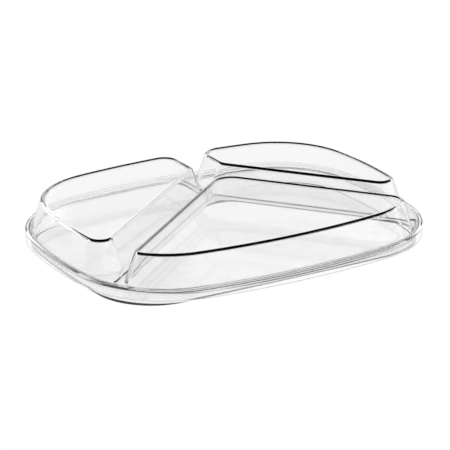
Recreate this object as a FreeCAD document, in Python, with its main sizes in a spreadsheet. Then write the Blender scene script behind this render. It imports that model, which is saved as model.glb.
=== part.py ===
import FreeCAD, Part
import math
import os

import Sketcher

# A clear dish: a shallow tray, and a loose lid that rises over it in three flat-topped domes.
# The frame has its origin under the middle of the tray, +X along the length, +Z up.

SIZES = [
    # The rim seen from above: four large-radius sides joined by four corners.
    ("rim_half_length", 130.0),
    ("rim_half_width", 101.0),
    ("rim_corner_x", 60.0),
    ("rim_corner_y", 28.7),
    ("rim_corner_radius", 68.0),
    # The tray's underside seen from above: nearly straight sides and tighter corners.
    ("foot_half_length", 122.0),
    ("foot_half_width", 84.5),
    ("foot_corner_x", 76.0),
    ("foot_corner_y", 39.5),
    ("foot_corner_radius", 44.5),
    # The three valleys that part the domes all start at one point.
    ("valley_start_x", 19.2),
    ("valley_start_y", 52.3),
    ("valley_left_angle", 39.4),
    ("valley_right_angle", 50.5),
    ("valley_left_length", 177.5),
    ("valley_right_length", 151.0),
    ("valley_back_length", 46.0),
    ("valley_floor_half", 3.9),
    # The lid.
    ("flange_level", 13.0),
    ("dome_rise", 20.5),
    ("draft_run", 7.0),
    ("wall", 2.2),
    ("crease_inset", 4.1),
    ("bead_width", 3.6),
    ("bead_rise", 0.8),
    ("skirt_drop", 7.2),
    ("ridge_half", 1.65),
    ("ridge_rise", 0.6),
    ("dome_edge_radius", 1.2),
    ("recess_inset", 1.5),
    ("recess_run", 1.4),
    ("recess_depth", 0.6),
    ("cavity_edge_radius", 0.6),
    ("mouth_radius", 1.4),
    ("bead_outer_radius", 1.2),
    ("bead_inner_radius", 0.6),
    ("skirt_wall", 1.2),
    ("skirt_edge_radius", 0.5),
    ("groove_inset", 2.6),
    # Corners of the domes at their tops.
    ("left_dome_near_radius", 5.5),
    ("left_dome_back_radius", 11.0),
    ("left_dome_front_radius", 9.0),
    ("back_dome_near_radius", 10.5),
    ("back_dome_right_radius", 9.0),
    ("back_dome_left_radius", 13.5),
    ("front_dome_near_radius", 14.5),
    ("front_dome_left_radius", 5.5),
    ("front_dome_right_radius", 11.0),
    # The tray.
    ("seat_gap", 0.2),
    ("skirt_gap", 1.5),
    ("ledge_thickness", 1.4),
    ("ledge_edge_radius", 0.6),
    ("tray_wall_inset", 4.6),
    ("tray_wall", 1.2),
    ("floor_thickness", 1.2),
    ("foot_chamfer", 1.4),
]

# How close an edge has to be to a level or to an outline to count as lying on it.
CLOSE = 1e-4

doc = FreeCAD.newDocument("ThreeDomedDish")
sheet = doc.addObject("Spreadsheet::Sheet", "Sizes")
for row, (alias, number) in enumerate(SIZES, start=1):
    sheet.set("A%d" % row, alias)
    sheet.set("B%d" % row, str(number))
    sheet.setAlias("B%d" % row, alias)
doc.recompute()


def value(expression):
    """The number that an expression over the sheet gives."""
    return float(sheet.evalExpression(expression))


# Expressions that several features share.
WALL_ACROSS = "Sizes.wall * sqrt(1 + (Sizes.draft_run / Sizes.dome_rise) ^ 2)"
DOME_TOP_INSET = "Sizes.crease_inset + Sizes.draft_run"
DOME_TOP_HALF = "Sizes.valley_floor_half + Sizes.draft_run"
DOME_TOP_LEVEL = "Sizes.flange_level + Sizes.dome_rise"
FLANGE_UNDERSIDE = "Sizes.flange_level - Sizes.wall"
FLANGE_INSET = "Sizes.bead_width / 2 + Sizes.groove_inset / 2"
TRAY_TOP = "Sizes.flange_level - Sizes.wall - Sizes.seat_gap"

# Each arc of a plan outline, by the side of the plan that it is on: (1, 0) is the +X side, (1, 1) a corner.
EAST, NORTH, WEST, SOUTH = (1, 0), (0, 1), (-1, 0), (0, -1)
NORTH_EAST, NORTH_WEST, SOUTH_WEST, SOUTH_EAST = (1, 1), (-1, 1), (-1, -1), (1, -1)
ALL_ROUND = [EAST, NORTH_EAST, NORTH, NORTH_WEST, WEST, SOUTH_WEST, SOUTH, SOUTH_EAST]

# Direction in degrees in which each valley runs out to the rim.
VALLEY_ANGLE = {
    "left": "Sizes.valley_left_angle - 180",
    "right": "0 - Sizes.valley_right_angle",
    "back": "90",
}

# Each compartment anticlockwise: a valley wall is ("valley name", +1 outwards or -1 inwards), and each side
# is followed by the name of the corner after it, or None where it runs on smoothly.
COMPARTMENTS = {
    "left_dome": [
        (("left", -1), "near"),
        (("back", 1), "back"),
        (NORTH, None),
        (NORTH_WEST, None),
        (WEST, "front"),
    ],
    "back_dome": [
        (("back", -1), "near"),
        (("right", 1), "right"),
        (EAST, None),
        (NORTH_EAST, None),
        (NORTH, "left"),
    ],
    "front_dome": [
        (("right", -1), "near"),
        (("left", 1), "left"),
        (SOUTH_WEST, None),
        (SOUTH, None),
        (SOUTH_EAST, "right"),
    ],
}


def side_radius(plan, along, across):
    """Expression for the radius of a side arc that touches both its corners and reaches half_<along>."""
    reach = "(Sizes.%s_half_%s - Sizes.%s_corner_%s)" % (plan, along, plan, across[0])
    other = "Sizes.%s_corner_%s" % (plan, across[1])
    corner = "Sizes.%s_corner_radius" % plan
    return "((%s ^ 2 + %s ^ 2 - %s ^ 2) / (2 * (%s - %s)))" % (other, reach, corner, reach, corner)


def outline_radius(plan, side):
    """Expression for the radius of one arc of a plan outline."""
    if side in (EAST, WEST):
        return side_radius(plan, "length", "xy")
    if side in (NORTH, SOUTH):
        return side_radius(plan, "width", "yx")
    return "Sizes.%s_corner_radius" % plan


def outline_centre(plan, side):
    """Centre of one arc of a plan outline."""
    if side in (EAST, WEST):
        reach = value("Sizes.%s_half_length" % plan) - value(outline_radius(plan, side))
        return FreeCAD.Vector(side[0] * reach, 0, 0)
    if side in (NORTH, SOUTH):
        reach = value("Sizes.%s_half_width" % plan) - value(outline_radius(plan, side))
        return FreeCAD.Vector(0, side[1] * reach, 0)
    corner_x = value("Sizes.%s_corner_x" % plan)
    corner_y = value("Sizes.%s_corner_y" % plan)
    return FreeCAD.Vector(side[0] * corner_x, side[1] * corner_y, 0)


def joint_direction(plan, side, neighbour):
    """Point in the direction of a joint with a neighbour, seen from the centre of an outline arc."""
    centre = outline_centre(plan, side)
    neighbour_centre = outline_centre(plan, neighbour)
    if side[0] and side[1]:
        return centre * 2 - neighbour_centre
    return neighbour_centre


def is_valley(side):
    return isinstance(side[0], str)


def travel(side):
    """Unit vector along a valley wall, with the compartment on its left."""
    angle = math.radians(value(VALLEY_ANGLE[side[0]]))
    return FreeCAD.Vector(math.cos(angle), math.sin(angle), 0) * side[1]


def left_of(direction):
    return FreeCAD.Vector(-direction.y, direction.x, 0)


def valley_start():
    return FreeCAD.Vector(value("Sizes.valley_start_x"), value("Sizes.valley_start_y"), 0)


def corner_centre(before, after, radius, plan, inset, half):
    """Centre of the round corner of the given radius that touches two sides of a compartment."""
    walls = [side for side in (before, after) if is_valley(side)]
    arcs = [side for side in (before, after) if not is_valley(side)]
    along = travel(walls[0])
    start = valley_start() + left_of(along) * (half + radius)
    if len(walls) == 2:
        inward = left_of(travel(walls[1]))
        distance = (half + radius - (start - valley_start()).dot(inward)) / along.dot(inward)
        return start + along * distance
    centre = outline_centre(plan, arcs[0])
    reach = value(outline_radius(plan, arcs[0])) - inset - radius
    offset = start - centre
    outward = along * walls[0][1]
    middle = -offset.dot(outward)
    half_chord = math.sqrt(middle ** 2 - offset.dot(offset) + reach ** 2)
    return start + outward * (middle + half_chord)


def arc_between(centre, radius, first, last):
    """Anticlockwise arc about a centre from the direction of one point to that of another."""
    start = math.atan2(first.y - centre.y, first.x - centre.x)
    end = math.atan2(last.y - centre.y, last.x - centre.x)
    if end < start:
        end += 2 * math.pi
    circle = Part.Circle(centre, FreeCAD.Vector(0, 0, 1), radius)
    return Part.ArcOfCircle(circle, start, end)


def new_sketch(body, name, plane, level):
    """Sketch on one of the body's origin planes, raised to a level."""
    sketch = body.newObject("Sketcher::SketchObject", name)
    support = [feature for feature in body.Origin.OriginFeatures if feature.Role == plane][0]
    sketch.AttachmentSupport = [(support, "")]
    sketch.MapMode = "FlatFace"
    if level is not None:
        sketch.setExpression("AttachmentOffset.Base.z", level)
    return sketch


def dimension(sketch, kind, places, expression):
    """Dimensional constraint driven by an expression over the sheet."""
    number = value(expression)
    if kind == "Angle":
        number = math.radians(number)
        expression = "(%s) * 1 deg" % expression
    index = sketch.addConstraint(Sketcher.Constraint(kind, *places, number))
    sketch.setExpression("Constraints[%d]" % index, expression)


def join_round(sketch, loop):
    """Tangent joints all round a closed loop of lines and arcs."""
    for index, following in zip(loop, loop[1:] + loop[:1]):
        sketch.addConstraint(Sketcher.Constraint("Tangent", index, 2, following, 1))


def fix_outline_arc(sketch, index, plan, side, inset, ends_free):
    """Constraints that hold one arc of a plan outline in place."""
    dimension(sketch, "Radius", (index,), "%s - (%s)" % (outline_radius(plan, side), inset))
    origin = (-1, 1)
    if side[0] and side[1]:
        for axis, sign in (("X", side[0]), ("Y", side[1])):
            ends = (*origin, index, 3) if sign > 0 else (index, 3, *origin)
            dimension(sketch, "Distance" + axis, ends, "Sizes.%s_corner_%s" % (plan, axis.lower()))
    elif ends_free:
        axis_line = -1 if side[0] else -2
        sketch.addConstraint(Sketcher.Constraint("PointOnObject", index, 3, axis_line))


def draw_outline(sketch, plan, inset):
    """Draw a whole plan outline, moved inwards by an inset."""
    loop = []
    for number, side in enumerate(ALL_ROUND):
        before = ALL_ROUND[number - 1]
        after = ALL_ROUND[(number + 1) % len(ALL_ROUND)]
        centre = outline_centre(plan, side)
        radius = value(outline_radius(plan, side)) - value(inset)
        first = joint_direction(plan, side, before)
        last = joint_direction(plan, side, after)
        loop.append(sketch.addGeometry(arc_between(centre, radius, first, last), False))
    join_round(sketch, loop)
    for index, side in zip(loop, ALL_ROUND):
        fix_outline_arc(sketch, index, plan, side, inset, False)


def draw_compartment(sketch, sides, plan, inset, half, corners, growth):
    """Draw one compartment: valley walls, stretches of the outline and the round corners between them.

    Inset, half and the corner radii describe the narrowest level; growth moves every wall outwards from it.
    """
    inset_number = value(inset)
    half_number = value(half)
    growth_number = value(growth)
    names = [side for side, corner in sides]
    centres = []
    for number, (side, corner) in enumerate(sides):
        after = names[(number + 1) % len(names)]
        if corner is None:
            centres.append(None)
        else:
            radius = value(corners[corner])
            centres.append(corner_centre(side, after, radius, plan, inset_number, half_number))

    loop = []
    placed = []
    for number, (side, corner) in enumerate(sides):
        if is_valley(side):
            inward = left_of(travel(side))
            line_ends = []
            for place, place_corner in ((number - 1, sides[number - 1][1]), (number, corner)):
                reach = value(corners[place_corner]) + growth_number
                line_ends.append(centres[place] - inward * reach)
            index = sketch.addGeometry(Part.LineSegment(*line_ends), False)
        else:
            centre = outline_centre(plan, side)
            radius = value(outline_radius(plan, side)) - inset_number + growth_number
            first = centres[number - 1] or joint_direction(plan, side, names[number - 1])
            last = centres[number] or joint_direction(plan, side, names[(number + 1) % len(names)])
            index = sketch.addGeometry(arc_between(centre, radius, first, last), False)
        loop.append(index)
        placed.append((index, side))
        if corner is not None:
            after = names[(number + 1) % len(names)]
            centre = centres[number]
            points = []
            for neighbour in (side, after):
                if is_valley(neighbour):
                    points.append(centre - left_of(travel(neighbour)))
                else:
                    points.append(centre * 2 - outline_centre(plan, neighbour))
            radius = value(corners[corner]) + growth_number
            index = sketch.addGeometry(arc_between(centre, radius, *points), False)
            loop.append(index)
            placed.append((index, corner))
    join_round(sketch, loop)

    start = sketch.addGeometry(Part.Point(valley_start()), True)
    dimension(sketch, "DistanceX", (-1, 1, start, 1), "Sizes.valley_start_x")
    dimension(sketch, "DistanceY", (-1, 1, start, 1), "Sizes.valley_start_y")
    for index, side in placed:
        if isinstance(side, str):
            dimension(sketch, "Radius", (index,), "%s + %s" % (corners[side], growth))
        elif is_valley(side):
            turn = "" if side[1] > 0 else " + 180"
            angle = "(%s%s)" % (VALLEY_ANGLE[side[0]], turn)
            if value(angle) > 180:
                angle += " - 360"
            dimension(sketch, "Angle", (index,), angle)
            dimension(sketch, "Distance", (start, 1, index), "%s - (%s)" % (half, growth))
        else:
            inwards = "%s - (%s)" % (inset, growth)
            position = names.index(side)
            alone = sides[position][1] is not None or sides[position - 1][1] is not None
            fix_outline_arc(sketch, index, plan, side, inwards, alone)


def pad(body, name, sketch, length):
    feature = body.newObject("PartDesign::Pad", name)
    feature.Profile = sketch
    feature.setExpression("Length", length)
    doc.recompute()
    return feature


def loft(body, name, sections, cut=False):
    """Straight-sided solid or hollow through sketches, from the lowest to the highest."""
    kind = "PartDesign::SubtractiveLoft" if cut else "PartDesign::AdditiveLoft"
    feature = body.newObject(kind, name)
    feature.Profile = sections[0]
    feature.Sections = [(sketch, [""]) for sketch in sections[1:]]
    feature.Ruled = True
    doc.recompute()
    return feature


def outline_sketch(body, name, plan, level, insets):
    sketch = new_sketch(body, name, "XY_Plane", level)
    for inset in insets:
        draw_outline(sketch, plan, inset)
    doc.recompute()
    return sketch


def round_edges(body, name, feature, wanted, radius):
    """Fillet every edge of a feature that the test picks out."""
    picked = []
    for number, edge in enumerate(feature.Shape.Edges, start=1):
        if wanted(edge):
            picked.append("Edge%d" % number)
    fillet = body.newObject("PartDesign::Fillet", name)
    fillet.Base = (feature, picked)
    fillet.setExpression("Radius", radius)
    doc.recompute()
    print(name, "rounds", len(picked), "edges")
    return fillet


def lies_at(edge, level):
    """Whether an edge lies flat at a level."""
    box = edge.BoundBox
    return abs(box.ZMin - level) < CLOSE and abs(box.ZMax - level) < CLOSE


def follows_rim(edge, inset):
    """Whether an edge, seen from above, runs along the rim's outline moved inwards."""
    middle = edge.valueAt((edge.FirstParameter + edge.LastParameter) / 2)
    for side in ALL_ROUND:
        centre = outline_centre("rim", side)
        distance = math.hypot(middle.x - centre.x, middle.y - centre.y)
        if abs(distance - value(outline_radius("rim", side)) + inset) < CLOSE:
            return True
    return False


def dome_section(body, name, label, level, growth):
    """Sketch across one dome, grown evenly from the dome's outline at its top."""
    sides = COMPARTMENTS[name]
    corners = {corner: "Sizes.%s_%s_radius" % (name, corner) for side, corner in sides if corner}
    sketch = new_sketch(body, "%s_%s" % (name, label), "XY_Plane", level)
    draw_compartment(sketch, sides, "rim", DOME_TOP_INSET, DOME_TOP_HALF, corners, growth)
    doc.recompute()
    return sketch


def add_domes(body):
    for name in COMPARTMENTS:
        lower = dome_section(body, name, "foot", "Sizes.flange_level", "Sizes.draft_run")
        upper = dome_section(body, name, "top", DOME_TOP_LEVEL, "0")
        domes = loft(body, name, [lower, upper])
    top = value(DOME_TOP_LEVEL)
    round_edges(body, "dome_edges", domes, lambda edge: lies_at(edge, top), "Sizes.dome_edge_radius")


def recess_tops(body):
    """Sink the top of every dome inside a low lip, on which another dish can stand without sliding."""
    for name in COMPARTMENTS:
        floor_level = DOME_TOP_LEVEL + " - Sizes.recess_depth"
        floor_growth = "(0 - Sizes.recess_inset - Sizes.recess_run)"
        floor = dome_section(body, name, "recess_floor", floor_level, floor_growth)
        mouth = dome_section(body, name, "recess_mouth", DOME_TOP_LEVEL, "(0 - Sizes.recess_inset)")
        loft(body, name + "_recess", [floor, mouth], cut=True)


def hollow_domes(body):
    """Cut the inside of every dome, so that its walls and its ceiling are equally thick."""
    per_height = "Sizes.draft_run / Sizes.dome_rise"
    mouth_growth = "(%s * (Sizes.dome_rise + Sizes.wall) - %s)" % (per_height, WALL_ACROSS)
    ceiling_growth = "(%s * Sizes.wall - %s)" % (per_height, WALL_ACROSS)
    ceiling = DOME_TOP_LEVEL + " - Sizes.wall"
    for name in COMPARTMENTS:
        lower = dome_section(body, name, "mouth", FLANGE_UNDERSIDE, mouth_growth)
        upper = dome_section(body, name, "ceiling", ceiling, ceiling_growth)
        hollow = loft(body, name + "_cavity", [lower, upper], cut=True)

    ceiling_level = value(ceiling)
    hollow = round_edges(
        body, "cavity_edges", hollow, lambda edge: lies_at(edge, ceiling_level), "Sizes.cavity_edge_radius"
    )
    underside = value(FLANGE_UNDERSIDE)
    flange_inset = value(FLANGE_INSET)
    round_edges(
        body, "mouth_edges", hollow,
        lambda edge: lies_at(edge, underside) and not follows_rim(edge, flange_inset),
        "Sizes.mouth_radius",
    )


def add_ridge(body, valley, angle):
    """A low ridge with a round crown along the middle of a valley."""
    sketch = new_sketch(body, "ridge_%s_section" % valley, "XZ_Plane", None)
    turn = FreeCAD.Rotation(FreeCAD.Vector(0, 1, 0), value("90 + " + angle))
    sketch.AttachmentOffset = FreeCAD.Placement(FreeCAD.Vector(0, 0, 0), turn)
    sketch.setExpression("AttachmentOffset.Base.x", "Sizes.valley_start_x")
    sketch.setExpression("AttachmentOffset.Base.y", "Sizes.flange_level")
    sketch.setExpression("AttachmentOffset.Base.z", "0 - Sizes.valley_start_y")
    half = value("Sizes.ridge_half")
    left_end = FreeCAD.Vector(-half, 0, 0)
    right_end = FreeCAD.Vector(half, 0, 0)
    top = FreeCAD.Vector(0, value("Sizes.ridge_rise"), 0)
    crown = sketch.addGeometry(Part.Arc(right_end, top, left_end), False)
    chord = sketch.addGeometry(Part.LineSegment(left_end, right_end), False)
    sketch.addConstraint(Sketcher.Constraint("Coincident", crown, 2, chord, 1))
    sketch.addConstraint(Sketcher.Constraint("Coincident", crown, 1, chord, 2))
    sketch.addConstraint(Sketcher.Constraint("Symmetric", chord, 1, chord, 2, -1, 1))
    sketch.addConstraint(Sketcher.Constraint("Horizontal", chord))
    dimension(sketch, "DistanceX", (chord, 1, chord, 2), "2 * Sizes.ridge_half")
    crown_radius = "(Sizes.ridge_half ^ 2 + Sizes.ridge_rise ^ 2) / (2 * Sizes.ridge_rise)"
    dimension(sketch, "Radius", (crown,), crown_radius)
    doc.recompute()
    pad(body, "ridge_" + valley, sketch, "Sizes.valley_%s_length" % valley)


def add_rim(body):
    """The bead round the edge, hollow underneath, and the skirt that hangs down from it."""
    bead = outline_sketch(body, "bead_outline", "rim", FLANGE_UNDERSIDE, ["0", "Sizes.bead_width"])
    pad(body, "bead", bead, "Sizes.wall + Sizes.bead_rise")
    groove_insets = ["Sizes.skirt_wall", "Sizes.groove_inset"]
    groove_roof = "Sizes.flange_level + Sizes.bead_rise - Sizes.skirt_wall"
    groove_foot = outline_sketch(body, "groove_foot", "rim", FLANGE_UNDERSIDE, groove_insets)
    groove_top = outline_sketch(body, "groove_top", "rim", groove_roof, groove_insets)
    loft(body, "groove", [groove_foot, groove_top], cut=True)
    skirt_level = "Sizes.flange_level - Sizes.skirt_drop"
    skirt = outline_sketch(body, "skirt_outline", "rim", skirt_level, ["0", "Sizes.skirt_wall"])
    rim = pad(body, "skirt", skirt, "Sizes.skirt_drop")

    bead_top = value("Sizes.flange_level + Sizes.bead_rise")
    bead_width = value("Sizes.bead_width")
    skirt_foot = value(skirt_level)
    rim = round_edges(
        body, "bead_outer_edge", rim,
        lambda edge: lies_at(edge, bead_top) and follows_rim(edge, 0),
        "Sizes.bead_outer_radius",
    )
    rim = round_edges(
        body, "bead_inner_edge", rim,
        lambda edge: lies_at(edge, bead_top) and follows_rim(edge, bead_width),
        "Sizes.bead_inner_radius",
    )
    round_edges(body, "skirt_edges", rim, lambda edge: lies_at(edge, skirt_foot), "Sizes.skirt_edge_radius")


def build_lid():
    body = doc.addObject("PartDesign::Body", "lid")
    body.Label = "lid"
    flange = outline_sketch(body, "flange_outline", "rim", FLANGE_UNDERSIDE, [FLANGE_INSET])
    pad(body, "flange", flange, "Sizes.wall")
    add_domes(body)
    recess_tops(body)
    hollow_domes(body)
    for valley, angle in VALLEY_ANGLE.items():
        add_ridge(body, valley, angle)
    add_rim(body)
    return body


def build_base_dish():
    """The tray: a ledge for the lid, and a thin leaning wall round a flat floor."""
    body = doc.addObject("PartDesign::Body", "base_dish")
    body.Label = "base_dish"

    ledge_level = TRAY_TOP + " - Sizes.ledge_thickness"
    ledge = outline_sketch(body, "ledge_outline", "rim", ledge_level, ["Sizes.skirt_wall + Sizes.skirt_gap"])
    rim = pad(body, "ledge", ledge, "Sizes.ledge_thickness")
    tray_top = value(TRAY_TOP)
    round_edges(body, "ledge_edge", rim, lambda edge: lies_at(edge, tray_top), "Sizes.ledge_edge_radius")

    foot = outline_sketch(body, "foot_outline", "foot", "0", ["Sizes.foot_chamfer"])
    side = outline_sketch(body, "side_outline", "foot", "Sizes.foot_chamfer", ["0"])
    brim = outline_sketch(body, "brim_outline", "rim", TRAY_TOP, ["Sizes.tray_wall_inset"])
    loft(body, "shell", [foot, side, brim])

    pan_side = "Sizes.floor_thickness + Sizes.foot_chamfer"
    pan_foot_inset = "Sizes.tray_wall + Sizes.foot_chamfer"
    pan_top_inset = "Sizes.tray_wall_inset + Sizes.tray_wall"
    floor = outline_sketch(body, "floor_outline", "foot", "Sizes.floor_thickness", [pan_foot_inset])
    bend = outline_sketch(body, "pan_side_outline", "foot", pan_side, ["Sizes.tray_wall"])
    mouth = outline_sketch(body, "pan_mouth_outline", "rim", TRAY_TOP, [pan_top_inset])
    loft(body, "pan", [floor, bend, mouth], cut=True)
    return body


bodies = [build_lid(), build_base_dish()]
doc.recompute()

for item in doc.Objects:
    if "Invalid" in item.State or "Error" in item.State:
        raise RuntimeError("%s failed: %s" % (item.Name, item.State))

os.makedirs("parts", exist_ok=True)
for body in bodies:
    shape = body.Shape
    if shape.isNull() or not shape.isValid() or len(shape.Solids) != 1:
        raise RuntimeError("%s is not one sound solid" % body.Label)
    box = shape.BoundBox
    print(body.Label, "volume %.0f mm3" % shape.Volume, "box", box)
    shape.exportStep("parts/%s.step" % body.Label)
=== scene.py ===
import math

import bmesh
import bpy
from mathutils import Matrix, Vector
from mathutils.geometry import delaunay_2d_cdt


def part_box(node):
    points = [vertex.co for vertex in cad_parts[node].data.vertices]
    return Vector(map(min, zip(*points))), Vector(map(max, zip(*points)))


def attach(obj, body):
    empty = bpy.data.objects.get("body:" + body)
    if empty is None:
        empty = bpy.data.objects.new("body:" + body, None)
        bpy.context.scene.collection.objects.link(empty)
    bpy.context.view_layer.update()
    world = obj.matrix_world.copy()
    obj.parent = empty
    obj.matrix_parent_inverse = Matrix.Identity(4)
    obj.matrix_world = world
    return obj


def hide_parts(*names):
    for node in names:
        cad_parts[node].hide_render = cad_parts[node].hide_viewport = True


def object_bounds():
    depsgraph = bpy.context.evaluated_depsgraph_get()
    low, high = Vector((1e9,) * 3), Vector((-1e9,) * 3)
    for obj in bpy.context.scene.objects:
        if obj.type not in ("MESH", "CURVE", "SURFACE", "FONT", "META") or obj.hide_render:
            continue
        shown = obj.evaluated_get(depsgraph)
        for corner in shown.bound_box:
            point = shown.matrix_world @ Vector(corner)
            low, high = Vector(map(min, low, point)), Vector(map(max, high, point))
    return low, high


# A clear, shallow tray and its loose lid with three flat-topped domes.  Shapes are worked out in
# millimetres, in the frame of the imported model, and scaled to metres when a mesh is made.

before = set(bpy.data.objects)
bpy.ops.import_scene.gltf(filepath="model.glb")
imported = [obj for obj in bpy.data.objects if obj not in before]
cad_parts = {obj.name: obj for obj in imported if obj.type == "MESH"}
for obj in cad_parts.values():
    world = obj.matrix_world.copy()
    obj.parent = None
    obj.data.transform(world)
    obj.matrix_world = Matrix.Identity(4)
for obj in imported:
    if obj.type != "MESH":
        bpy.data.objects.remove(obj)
cad_low, cad_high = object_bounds()

MM = 0.001
LID_LOW, LID_HIGH = (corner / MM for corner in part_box("lid"))
TRAY_LOW, TRAY_HIGH = (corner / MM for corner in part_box("base_dish"))

# Plan outlines: the rim, which the lid and the ledge follow, and the foot of the tray.
RIM = {"half": LID_HIGH.xy, "corner": Vector((60.0, 28.7)), "radius": 68.0}
FOOT = {"half": Vector((122.0, 84.5)), "corner": Vector((76.0, 39.5)), "radius": 44.5}

# The three valleys between the domes start at one point.  Directions are in degrees from +X.
VALLEY_START = Vector((19.2, 52.3))
VALLEY_DIRECTION = {"left": 39.4 - 180, "right": -50.5, "back": 90.0}

EAST, NORTH, WEST, SOUTH = (1, 0), (0, 1), (-1, 0), (0, -1)
NORTH_EAST, NORTH_WEST, SOUTH_WEST, SOUTH_EAST = (1, 1), (-1, 1), (-1, -1), (1, -1)
ALL_ROUND = [EAST, NORTH_EAST, NORTH, NORTH_WEST, WEST, SOUTH_WEST, SOUTH, SOUTH_EAST]

# Each compartment anticlockwise.  A valley wall is ("valley name", +1 outwards or -1 inwards); each side is
# followed by the radius of the dome's round corner after it, or None where it runs on smoothly.
COMPARTMENTS = {
    "left": [(("left", -1), 5.5), (("back", 1), 11.0), (NORTH, None), (NORTH_WEST, None), (WEST, 9.0)],
    "back": [(("back", -1), 10.5), (("right", 1), 9.0), (EAST, None), (NORTH_EAST, None), (NORTH, 13.5)],
    "front": [
        (("right", -1), 14.5), (("left", 1), 5.5), (SOUTH_WEST, None), (SOUTH, None), (SOUTH_EAST, 11.0),
    ],
}

# Levels and thicknesses.
WALL = 2.2
SKIRT_FOOT = LID_LOW.z
DOME_TOP = LID_HIGH.z
FLANGE = 13.0
FLANGE_UNDERSIDE = FLANGE - WALL
CEILING = DOME_TOP - WALL
BEAD_TOP = FLANGE + 0.8
BEAD_WIDTH = 3.6
SKIRT_WALL = 1.2
GROOVE_ROOF = BEAD_TOP - SKIRT_WALL
GROOVE_INSET = 2.6
TRAY_TOP = TRAY_HIGH.z
LEDGE_UNDERSIDE = TRAY_TOP - 1.4
LEDGE_INSET = LID_HIGH.x - TRAY_HIGH.x
TRAY_WALL = 1.2
TRAY_WALL_INSET = 4.6
TRAY_FLOOR = 1.2
FOOT_LEVEL = 1.4

# Two levels at which a wall stands on the same outline, because it doesn't lean.
UPRIGHT = (0, 1)

# The lip round the top of every dome, and the shallow recess inside it.
LIP_WIDTH = 1.5
RECESS_RUN = 1.4
RECESS_FLOOR = DOME_TOP - 0.6

# Plan of the domes at their tops, and how far each wall leans out by the time it reaches the flange.
CREASE_INSET = 4.1
VALLEY_HALF = 3.9
DRAFT_RUN = 7.0
LEAN = DRAFT_RUN / (DOME_TOP - FLANGE)
WALL_ACROSS = WALL * math.sqrt(1 + LEAN ** 2)

# The ribs along the valleys.
RIB = {"half": 1.65, "rise": 0.6, "fade": 4.0}

# The plastic.  The height of its waves is in millimetres.
PLASTIC_IOR = 1.5
CLEARNESS = 0.99
WAVES_PER_METRE = 35.0
WAVE_HEIGHT = 0.02
SCUFFS_PER_METRE = 90.0
LID_ROUGHNESS = (0.0, 0.06)
TRAY_ROUGHNESS = (0.1, 0.16)
ABSORPTION_PER_METRE = 18.0

# Roughness follows the fine noise between these two values of it.
SCUFF_NOISE = (0.5, 0.75)

# Mesh density.
SIDE_STEPS = 26
VALLEY_STEPS = 22
CORNER_STEPS = 16
BEND_STEPS = 6
RIB_STRIPS = 8
RIB_STEP = 1.6
WELD = 1e-5
INSIDE_WITH_HOLES = 2


# Plan outlines.  A station is a point on an outline with the unit vector that points inwards from it.

def outline_arc(plan, side):
    """Centre and radius of one of the eight arcs of a plan outline."""
    if side[0] and side[1]:
        return Vector((side[0] * plan["corner"].x, side[1] * plan["corner"].y)), plan["radius"]
    along = 0 if side[0] else 1
    reach = plan["half"][along] - plan["corner"][along]
    other = plan["corner"][1 - along]
    radius = (other ** 2 + reach ** 2 - plan["radius"] ** 2) / (2 * (reach - plan["radius"]))
    centre = Vector((0, 0))
    centre[along] = side[along] * (plan["half"][along] - radius)
    return centre, radius


def is_valley(side):
    return isinstance(side[0], str)


def travel(side):
    """Unit vector along a valley wall, with the compartment on its left."""
    angle = math.radians(VALLEY_DIRECTION[side[0]])
    return Vector((math.cos(angle), math.sin(angle))) * side[1]


def left_of(direction):
    return Vector((-direction.y, direction.x))


def arc_stations(centre, radius, first, last, steps):
    """Stations along an anticlockwise arc between two directions, without the last point."""
    start = math.atan2(first.y, first.x)
    sweep = (math.atan2(last.y, last.x) - start) % (2 * math.pi)
    stations = []
    for step in range(steps):
        angle = start + sweep * step / steps
        outward = Vector((math.cos(angle), math.sin(angle)))
        stations.append((centre + outward * radius, -outward))
    return stations


def joint_direction(plan, side, neighbour):
    """Direction in which two neighbouring arcs of a plan outline touch, seen from either centre."""
    corner, flank = (side, neighbour) if side[0] and side[1] else (neighbour, side)
    return outline_arc(plan, corner)[0] - outline_arc(plan, flank)[0]


def outline(plan, inset):
    """Stations all round a plan outline, moved inwards."""
    stations = []
    for number, side in enumerate(ALL_ROUND):
        centre, radius = outline_arc(plan, side)
        first = joint_direction(plan, side, ALL_ROUND[number - 1])
        last = joint_direction(plan, side, ALL_ROUND[(number + 1) % len(ALL_ROUND)])
        stations += arc_stations(centre, radius - inset, first, last, SIDE_STEPS)
    return stations


def corner_centre(before, after, radius, plan, inset, half):
    """Centre of the round corner that touches two neighbouring sides of a compartment."""
    walls = [side for side in (before, after) if is_valley(side)]
    along = travel(walls[0])
    start = VALLEY_START + left_of(along) * (half + radius)
    if len(walls) == 2:
        inward = left_of(travel(walls[1]))
        return start + along * ((half + radius - (start - VALLEY_START).dot(inward)) / along.dot(inward))
    side = after if walls[0] == before else before
    centre, side_radius = outline_arc(plan, side)
    outward = along * walls[0][1]
    offset = start - centre
    middle = -offset.dot(outward)
    half_chord = math.sqrt(middle ** 2 - offset.length_squared + (side_radius - inset - radius) ** 2)
    return start + outward * (middle + half_chord)


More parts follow.
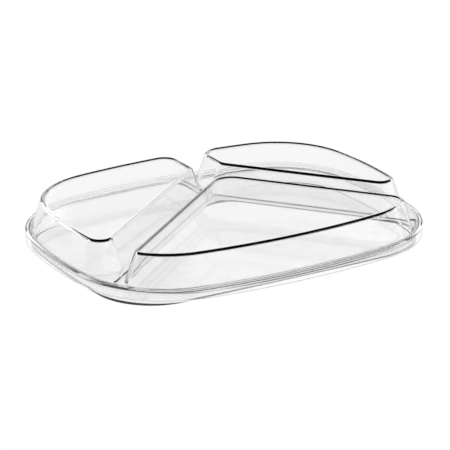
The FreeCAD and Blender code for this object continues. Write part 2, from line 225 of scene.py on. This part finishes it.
def compartment(sides, plan, inset, half):
    """Stations all round one compartment: a stretch of the plan outline moved inwards, two valley walls that
    stand half away from the middle of their valleys, and the round corners between them."""
    count = len(sides)
    names = [side for side, radius in sides]
    radii = [radius for side, radius in sides]
    centres = []
    for number in range(count):
        if radii[number] is None:
            centres.append(None)
        else:
            after = names[(number + 1) % count]
            centres.append(corner_centre(names[number], after, radii[number], plan, inset, half))

    def outward(side, corner):
        """Direction from a corner's centre to the point where it touches a side."""
        return -left_of(travel(side)) if is_valley(side) else centres[corner] - outline_arc(plan, side)[0]

    stations = []
    for number, side in enumerate(names):
        before = number - 1
        after = (number + 1) % count
        if is_valley(side):
            inward = left_of(travel(side))
            start = centres[before] - inward * radii[before]
            end = centres[number] - inward * radii[number]
            stations += [(start.lerp(end, step / VALLEY_STEPS), inward) for step in range(VALLEY_STEPS)]
        else:
            centre, side_radius = outline_arc(plan, side)
            first = outward(side, before) if centres[before] else joint_direction(plan, side, names[before])
            last = outward(side, number) if centres[number] else joint_direction(plan, side, names[after])
            stations += arc_stations(centre, side_radius - inset, first, last, SIDE_STEPS)
        if centres[number]:
            first, last = outward(side, number), outward(names[after], number)
            stations += arc_stations(centres[number], radii[number], first, last, CORNER_STEPS)
    return stations


def moved_in(stations, inset):
    return [(place + inward * inset, inward) for place, inward in stations]


def rounded(*corners):
    """Profile through corners, each (inset, level, reach), that bends smoothly within reach of every corner.

    The first and the last one are ends, not corners: there the profile stops on a flat face, past a bend.
    Gives each point of the profile with the direction in which the profile runs there."""
    places = [Vector((inset, level)) for inset, level, reach in corners]
    directions = [(end - start).normalized() for start, end in zip(places, places[1:])]
    profile = [(places[0], directions[0])]
    for place, arriving, leaving, corner in zip(places[1:], directions, directions[1:], corners[1:]):
        reach = corner[2]
        for step in range(BEND_STEPS + 1):
            turn = math.pi / 2 * step / BEND_STEPS
            back = arriving * reach * (1 - math.sin(turn))
            forward = leaving * reach * (1 - math.cos(turn))
            profile.append((place - back + forward, arriving * math.cos(turn) + leaving * math.sin(turn)))
    profile.append((places[-1], directions[-1]))
    return profile


class Skin:
    """The closed surface of one piece while it is being built."""

    def __init__(self):
        self.places = []
        self.facings = []
        self.faces = []

    def vertex(self, place, facing):
        self.places.append(place)
        self.facings.append(facing.normalized())
        return len(self.places) - 1

    def strip(self, ring, following):
        """Quads between two rings with as many points."""
        count = len(ring)
        for number in range(count):
            after = (number + 1) % count
            self.faces.append((ring[number], ring[after], following[after], following[number]))

    def sweep(self, lower, upper, levels, profile):
        """Carry a profile round a wall that leans from one outline, at the first level, to another at the
        second.  The profile's insets count inwards from that wall.  Gives the first and the last ring."""
        low, high = levels
        rings = []
        for point, direction in profile:
            share = (point.y - low) / (high - low)
            ring = []
            for (lower_place, lower_inward), (upper_place, upper_inward) in zip(lower, upper):
                inward = lower_inward.lerp(upper_inward, share)
                place = lower_place.lerp(upper_place, share) + inward * point.x
                lean = (upper_place - lower_place) / (high - low)
                rise = inward * direction.x + lean * direction.y
                along = Vector((inward.y, -inward.x, 0))
                facing = along.cross(Vector((*rise, direction.y)))
                ring.append(self.vertex(Vector((*place, point.y)), facing))
            rings.append(ring)
        for ring, following in zip(rings, rings[1:]):
            self.strip(ring, following)
        return rings[0], rings[-1]

    def fill(self, loops, level, height=None, extra=()):
        """Triangles over the flat region inside the first loop and outside the others."""
        known = [index for loop in loops for index in loop]
        plan = [self.places[index].xy for index in known] + list(extra)
        outlines = []
        for loop in loops:
            start = sum(len(other) for other in outlines)
            outlines.append(list(range(start, start + len(loop))))
        places, _, faces, origins, _, _ = delaunay_2d_cdt(plan, [], outlines, INSIDE_WITH_HOLES, WELD)
        indices = []
        for place, sources in zip(places, origins):
            if sources and min(sources) < len(known):
                indices.append(known[min(sources)])
            else:
                rise, slope = height(place)
                indices.append(self.vertex(Vector((*place, level + rise)), Vector((-slope.x, -slope.y, 1))))
        self.faces += [tuple(indices[corner] for corner in face) for face in faces]

    def piece(self, name, material):
        """The finished object, its faces turned outwards and its shading taken from the true surface."""
        mesh = bpy.data.meshes.new(name)
        mesh.from_pydata([place * MM for place in self.places], [], self.faces)
        shell = bmesh.new()
        shell.from_mesh(mesh)
        bmesh.ops.recalc_face_normals(shell, faces=shell.faces)
        shell.to_mesh(mesh)
        shell.free()
        mesh.shade_smooth()
        facings = []
        for vertex, facing in zip(mesh.vertices, self.facings):
            facings.append(facing if facing.dot(vertex.normal) > 0 else -facing)
        mesh.normals_split_custom_set_from_vertices(facings)
        mesh.materials.append(material)
        obj = bpy.data.objects.new(name, mesh)
        bpy.context.scene.collection.objects.link(obj)
        return obj


def valley_end(angle, loop):
    """How far a valley runs from its start until it meets a loop of points."""
    direction = Vector((math.cos(angle), math.sin(angle)))
    across = left_of(direction)
    reaches = []
    for start, end in zip(loop, loop[1:] + loop[:1]):
        before = (start - VALLEY_START).dot(across)
        after = (end - VALLEY_START).dot(across)
        if before * after <= 0 and before != after:
            crossing = start.lerp(end, before / (before - after))
            reaches.append((crossing - VALLEY_START).dot(direction))
    return max(reaches)


class Ribs:
    """Ribs along the three valleys, as a height over a flat face that ends at a loop of points."""

    def __init__(self, loop, shape):
        self.shape = shape
        self.valleys = []
        for degrees in VALLEY_DIRECTION.values():
            angle = math.radians(degrees)
            direction = Vector((math.cos(angle), math.sin(angle)))
            self.valleys.append((direction, valley_end(angle, loop)))

    def rise(self, place):
        left_over = 1.0
        for direction, end in self.valleys:
            offset = place - VALLEY_START
            along = offset.dot(direction)
            away = abs(offset.dot(left_of(direction))) if along > 0 else offset.length
            crown = max(0.0, 1 - (away / self.shape["half"]) ** 2) ** 2
            fade = min(1.0, max(0.0, (end - along) / self.shape["fade"]))
            left_over *= 1 - crown * fade ** 2 * (3 - 2 * fade)
        return self.shape["rise"] * (1 - left_over)

    def height(self, place):
        """Height and slope of the ribs at a place."""
        step = 0.02
        here = self.rise(place)
        slope_x = (self.rise(place + Vector((step, 0))) - self.rise(place - Vector((step, 0)))) / (2 * step)
        slope_y = (self.rise(place + Vector((0, step))) - self.rise(place - Vector((0, step)))) / (2 * step)
        return here, Vector((slope_x, slope_y))

    def points(self):
        """Places on the ribs that the mesh has to pass through."""
        places = []
        for direction, end in self.valleys:
            for strip in range(RIB_STRIPS + 1):
                across = left_of(direction) * self.shape["half"] * (2 * strip / RIB_STRIPS - 1)
                for step in range(int((end - RIB_STEP / 2) / RIB_STEP)):
                    places.append(VALLEY_START + across + direction * RIB_STEP * step)
        return places


def build_lid(material):
    """The lid: a rim with a bead and a skirt, a flange with ribbed valleys, and three hollow domes whose flat
    tops are sunk a little inside a lip."""
    skin = Skin()
    rim = outline(RIM, 0)
    profile = rounded(
        (BEAD_WIDTH + 0.15, FLANGE, 0),
        (BEAD_WIDTH, FLANGE, 0.12),
        (BEAD_WIDTH, BEAD_TOP, 0.6),
        (0, BEAD_TOP, 1.2),
        (0, SKIRT_FOOT, 0.5),
        (SKIRT_WALL, SKIRT_FOOT, 0.5),
        (SKIRT_WALL, GROOVE_ROOF, 0.6),
        (GROOVE_INSET, GROOVE_ROOF, 0.5),
        (GROOVE_INSET, FLANGE_UNDERSIDE, 0.3),
        (GROOVE_INSET + 0.5, FLANGE_UNDERSIDE, 0),
    )
    top_loop, under_loop = skin.sweep(rim, rim, UPRIGHT, profile)

    top_loops = [top_loop]
    under_loops = [under_loop]
    for sides in COMPARTMENTS.values():
        crest = compartment(sides, RIM, CREASE_INSET + DRAFT_RUN, VALLEY_HALF + DRAFT_RUN)
        foot = moved_in(crest, -DRAFT_RUN)
        outside = rounded(
            (-0.25, FLANGE, 0),
            (0, FLANGE, 0.24),
            (0, DOME_TOP, 1.2),
            (LIP_WIDTH, DOME_TOP, 0.4),
            (LIP_WIDTH + RECESS_RUN, RECESS_FLOOR, 0.6),
            (LIP_WIDTH + RECESS_RUN + 1.5, RECESS_FLOOR, 0),
        )
        foot_ring, crest_ring = skin.sweep(foot, crest, (FLANGE, DOME_TOP), outside)
        skin.fill([crest_ring], RECESS_FLOOR)
        top_loops.append(foot_ring)

        ceiling = moved_in(crest, WALL_ACROSS - LEAN * WALL)
        mouth = moved_in(ceiling, -LEAN * (CEILING - FLANGE_UNDERSIDE))
        inside = rounded(
            (-1.2, FLANGE_UNDERSIDE, 0),
            (0, FLANGE_UNDERSIDE, 1.0),
            (0, CEILING, 0.5),
            (0.7, CEILING, 0),
        )
        mouth_ring, ceiling_ring = skin.sweep(mouth, ceiling, (FLANGE_UNDERSIDE, CEILING), inside)
        skin.fill([ceiling_ring], CEILING)
        under_loops.append(mouth_ring)

    ribs = Ribs([skin.places[index].xy for index in top_loop], RIB)
    skin.fill(top_loops, FLANGE, ribs.height, ribs.points())
    skin.fill(under_loops, FLANGE_UNDERSIDE)
    return skin.piece("clear_lid", material)


def build_dish(material):
    """The tray: a ledge for the lid, and a thin leaning wall with a soft foot round a flat floor."""
    skin = Skin()
    rim = outline(RIM, 0)
    edge = rounded(
        (LEDGE_INSET + 1.0, TRAY_TOP, 0),
        (LEDGE_INSET, TRAY_TOP, 0.7),
        (LEDGE_INSET, LEDGE_UNDERSIDE, 0.3),
        (LEDGE_INSET + 0.6, LEDGE_UNDERSIDE, 0),
    )
    ledge, under_ledge = skin.sweep(rim, rim, UPRIGHT, edge)

    wall_levels = (FOOT_LEVEL, TRAY_TOP)
    outside = rounded((-0.6, LEDGE_UNDERSIDE, 0), (0, LEDGE_UNDERSIDE, 0.5), (0, 0, 1.6), (2.4, 0, 0))
    outer_foot = outline(FOOT, 0)
    outer_top = outline(RIM, TRAY_WALL_INSET)
    shell_top, shell_foot = skin.sweep(outer_foot, outer_top, wall_levels, outside)
    skin.strip(under_ledge, shell_top)
    skin.fill([shell_foot], 0)

    inside = rounded((-1.4, TRAY_TOP, 0), (0, TRAY_TOP, 1.2), (0, TRAY_FLOOR, 2.6), (3.4, TRAY_FLOOR, 0))
    inner_foot = outline(FOOT, TRAY_WALL)
    inner_top = outline(RIM, TRAY_WALL_INSET + TRAY_WALL)
    brim_ring, floor_ring = skin.sweep(inner_foot, inner_top, wall_levels, inside)
    skin.strip(ledge, brim_ring)
    skin.fill([floor_ring], TRAY_FLOOR)
    return skin.piece("clear_tray", material)


def clear_plastic(name, smoothest, roughest):
    """Clear moulded plastic: faint waves from the mould, fine scuffs, and a slight grey where it is thick."""
    material = bpy.data.materials.new(name)
    material.use_nodes = True
    nodes = material.node_tree.nodes
    links = material.node_tree.links
    shader = nodes["Principled BSDF"]
    shader.inputs["Base Color"].default_value = (CLEARNESS, CLEARNESS, CLEARNESS, 1)
    shader.inputs["Transmission Weight"].default_value = 1.0
    shader.inputs["IOR"].default_value = PLASTIC_IOR

    place = nodes.new("ShaderNodeTexCoord")
    waves = nodes.new("ShaderNodeTexNoise")
    waves.inputs["Scale"].default_value = WAVES_PER_METRE
    waves.inputs["Detail"].default_value = 1.0
    links.new(place.outputs["Object"], waves.inputs["Vector"])
    bump = nodes.new("ShaderNodeBump")
    bump.inputs["Strength"].default_value = 1.0
    bump.inputs["Distance"].default_value = WAVE_HEIGHT * MM
    links.new(waves.outputs["Fac"], bump.inputs["Height"])
    links.new(bump.outputs["Normal"], shader.inputs["Normal"])

    scuffs = nodes.new("ShaderNodeTexNoise")
    scuffs.inputs["Scale"].default_value = SCUFFS_PER_METRE
    scuffs.inputs["Detail"].default_value = 6.0
    links.new(place.outputs["Object"], scuffs.inputs["Vector"])
    roughness = nodes.new("ShaderNodeMapRange")
    roughness.inputs["From Min"].default_value = SCUFF_NOISE[0]
    roughness.inputs["From Max"].default_value = SCUFF_NOISE[1]
    roughness.inputs["To Min"].default_value = smoothest
    roughness.inputs["To Max"].default_value = roughest
    links.new(scuffs.outputs["Fac"], roughness.inputs["Value"])
    links.new(roughness.outputs["Result"], shader.inputs["Roughness"])

    tint = nodes.new("ShaderNodeVolumeAbsorption")
    tint.inputs["Color"].default_value = (0, 0, 0, 1)
    tint.inputs["Density"].default_value = ABSORPTION_PER_METRE
    links.new(tint.outputs["Volume"], nodes["Material Output"].inputs["Volume"])
    return material


# The floor's half width and its distance below the tray, in metres.
FLOOR_REACH = 6.0
FLOOR_GAP = 0.0001


def make_floor():
    """An evenly lit white floor, a hair below the tray."""
    mesh = bpy.data.meshes.new("floor")
    level = cad_low.z - FLOOR_GAP
    around = (SOUTH_WEST, SOUTH_EAST, NORTH_EAST, NORTH_WEST)
    corners = [(x * FLOOR_REACH, y * FLOOR_REACH, level) for x, y in around]
    mesh.from_pydata(corners, [], [(0, 1, 2, 3)])
    floor = bpy.data.objects.new("floor", mesh)
    bpy.context.scene.collection.objects.link(floor)
    material = bpy.data.materials.new("floor_white")
    material.use_nodes = True
    shader = material.node_tree.nodes["Principled BSDF"]
    shader.inputs["Base Color"].default_value = (0.0, 0.0, 0.0, 1)
    shader.inputs["Roughness"].default_value = 1.0
    shader.inputs["Specular IOR Level"].default_value = 0.0
    shader.inputs["Emission Color"].default_value = (1, 1, 1, 1)
    shader.inputs["Emission Strength"].default_value = 1.0
    mesh.materials.append(material)


CAMERA_AZIMUTH = -30.54
CAMERA_ELEVATION = 20.56
CAMERA_DISTANCE = 1.5385
CAMERA_TARGET = Vector((-2.38, -4.54, 13.0)) * MM
CAMERA_LENS = 182.65
SENSOR_WIDTH = 36.0
CLIP_END = 20.0


def towards_camera():
    azimuth, elevation = math.radians(CAMERA_AZIMUTH), math.radians(CAMERA_ELEVATION)
    return Vector((
        math.sin(azimuth) * math.cos(elevation),
        -math.cos(azimuth) * math.cos(elevation),
        math.sin(elevation),
    ))


def beyond_dish():
    """Level unit vector from the camera's side to the far side of the dish."""
    return -Vector((towards_camera().x, towards_camera().y, 0)).normalized()


def make_camera():
    data = bpy.data.cameras.new("camera")
    data.lens = CAMERA_LENS
    data.sensor_width = SENSOR_WIDTH
    data.clip_end = CLIP_END
    camera = bpy.data.objects.new("camera", data)
    back = towards_camera()
    camera.location = CAMERA_TARGET + back * CAMERA_DISTANCE
    camera.rotation_euler = (-back).to_track_quat("-Z", "Y").to_euler()
    bpy.context.scene.collection.objects.link(camera)
    bpy.context.scene.camera = camera


# Softboxes: name, degrees clockwise from straight beyond the dish, width in metres, and power in watts.
SOFTBOX_DISTANCE = 3.0
SOFTBOX_LEVEL = 0.95
SOFTBOX_HEIGHT = 1.1
SOFTBOXES = [("softbox_right", 86.0, 0.5, 7.0), ("softbox_left", -60.0, 3.0, 16.0)]

# Brightness of the room: the sweep beyond the dish, the screen on its right, and the walls elsewhere.  The
# ceiling keeps only a share of it.
SWEEP = 1.05
SCREEN = 1.8
ROOM = 0.5
CEILING_SHARE = 0.04

# Where each of them begins and is complete, as the cosine of the angle to its middle.
SWEEP_FROM = (-0.3, 0.1)
SCREEN_FROM = (0.0, 1.0)
CEILING_FROM = (0.5, 0.6)


def make_world():
    """A pale sweep beyond the dish and a screen on its right, in a dimmer room with an unlit ceiling."""
    world = bpy.data.worlds.new("studio")
    world.use_nodes = True
    bpy.context.scene.world = world
    nodes = world.node_tree.nodes
    links = world.node_tree.links
    background = nodes["Background"]
    background.inputs["Color"].default_value = (1, 1, 1, 1)
    place = nodes.new("ShaderNodeTexCoord")
    away = beyond_dish()
    right = Vector((away.y, -away.x, 0))

    def ramp(towards, cosines, low, high):
        """Brightness that goes from low to high as a direction turns towards another."""
        along = nodes.new("ShaderNodeVectorMath")
        along.operation = "DOT_PRODUCT"
        along.inputs[1].default_value = towards
        links.new(place.outputs["Generated"], along.inputs[0])
        mapped = nodes.new("ShaderNodeMapRange")
        mapped.interpolation_type = "SMOOTHSTEP"
        mapped.inputs["From Min"].default_value = cosines[0]
        mapped.inputs["From Max"].default_value = cosines[1]
        mapped.inputs["To Min"].default_value = low
        mapped.inputs["To Max"].default_value = high
        links.new(along.outputs["Value"], mapped.inputs["Value"])
        return mapped.outputs["Result"]

    def combine(operation, first, second):
        node = nodes.new("ShaderNodeMath")
        node.operation = operation
        links.new(first, node.inputs[0])
        links.new(second, node.inputs[1])
        return node.outputs["Value"]

    sweep = ramp(away, SWEEP_FROM, ROOM, SWEEP)
    screen = ramp(right, SCREEN_FROM, ROOM, SCREEN)
    ceiling = ramp(Vector((0, 0, 1)), CEILING_FROM, 1.0, CEILING_SHARE)
    links.new(combine("MULTIPLY", combine("MAXIMUM", sweep, screen), ceiling), background.inputs["Strength"])


def make_lights():
    """Two softboxes: a narrow one on the right, and a wide one on the left beyond the dish."""
    for name, turn, width, watts in SOFTBOXES:
        aside = Matrix.Rotation(math.radians(-turn), 3, "Z") @ beyond_dish()
        data = bpy.data.lights.new(name, "AREA")
        data.shape = "RECTANGLE"
        data.size = width
        data.size_y = SOFTBOX_HEIGHT
        data.energy = watts
        light = bpy.data.objects.new(name, data)
        light.location = aside * SOFTBOX_DISTANCE + Vector((0, 0, SOFTBOX_LEVEL))
        light.rotation_euler = (-light.location).to_track_quat("-Z", "Y").to_euler()
        light.visible_camera = False
        bpy.context.scene.collection.objects.link(light)


# How often light may pass through the plastic's many faces before it is given up.
LIGHT_BOUNCES = 32

for name, build, node, body, roughness in (
    ("clear_lid", build_lid, "lid", "lid", LID_ROUGHNESS),
    ("clear_tray", build_dish, "base_dish", "base", TRAY_ROUGHNESS),
):
    piece = build(clear_plastic(name, *roughness))
    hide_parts(node)
    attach(piece, body)

make_floor()
make_camera()
make_world()
make_lights()
bpy.context.scene.view_settings.view_transform = "Standard"
bpy.context.scene.cycles.max_bounces = LIGHT_BOUNCES
bpy.context.scene.cycles.transmission_bounces = LIGHT_BOUNCES
